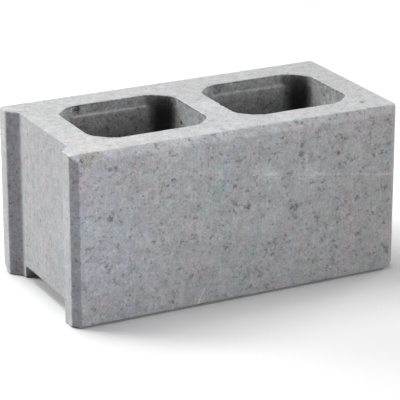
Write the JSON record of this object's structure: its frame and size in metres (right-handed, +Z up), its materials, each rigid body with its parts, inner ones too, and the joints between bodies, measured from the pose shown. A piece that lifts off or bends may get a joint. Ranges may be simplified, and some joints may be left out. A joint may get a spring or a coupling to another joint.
{
  "type": "concrete block",
  "caption": "Hollow concrete building block with two corner-cut cores, a bevelled face, one grooved end and one plain end.",
  "frame": {"origin": "middle of the block's box in plan, at the height of the bed face it rests on", "axes": "+X along the block towards its plain end, +Y from the bevelled face to the back, +Z up"},
  "size_m": [0.39, 0.195, 0.19],
  "materials": {
    "concrete": "matte, fine-grained pressed concrete with small pits"
  },
  "bodies": {
    "root": {"block": "concrete"}
  },
  "joints": []
}
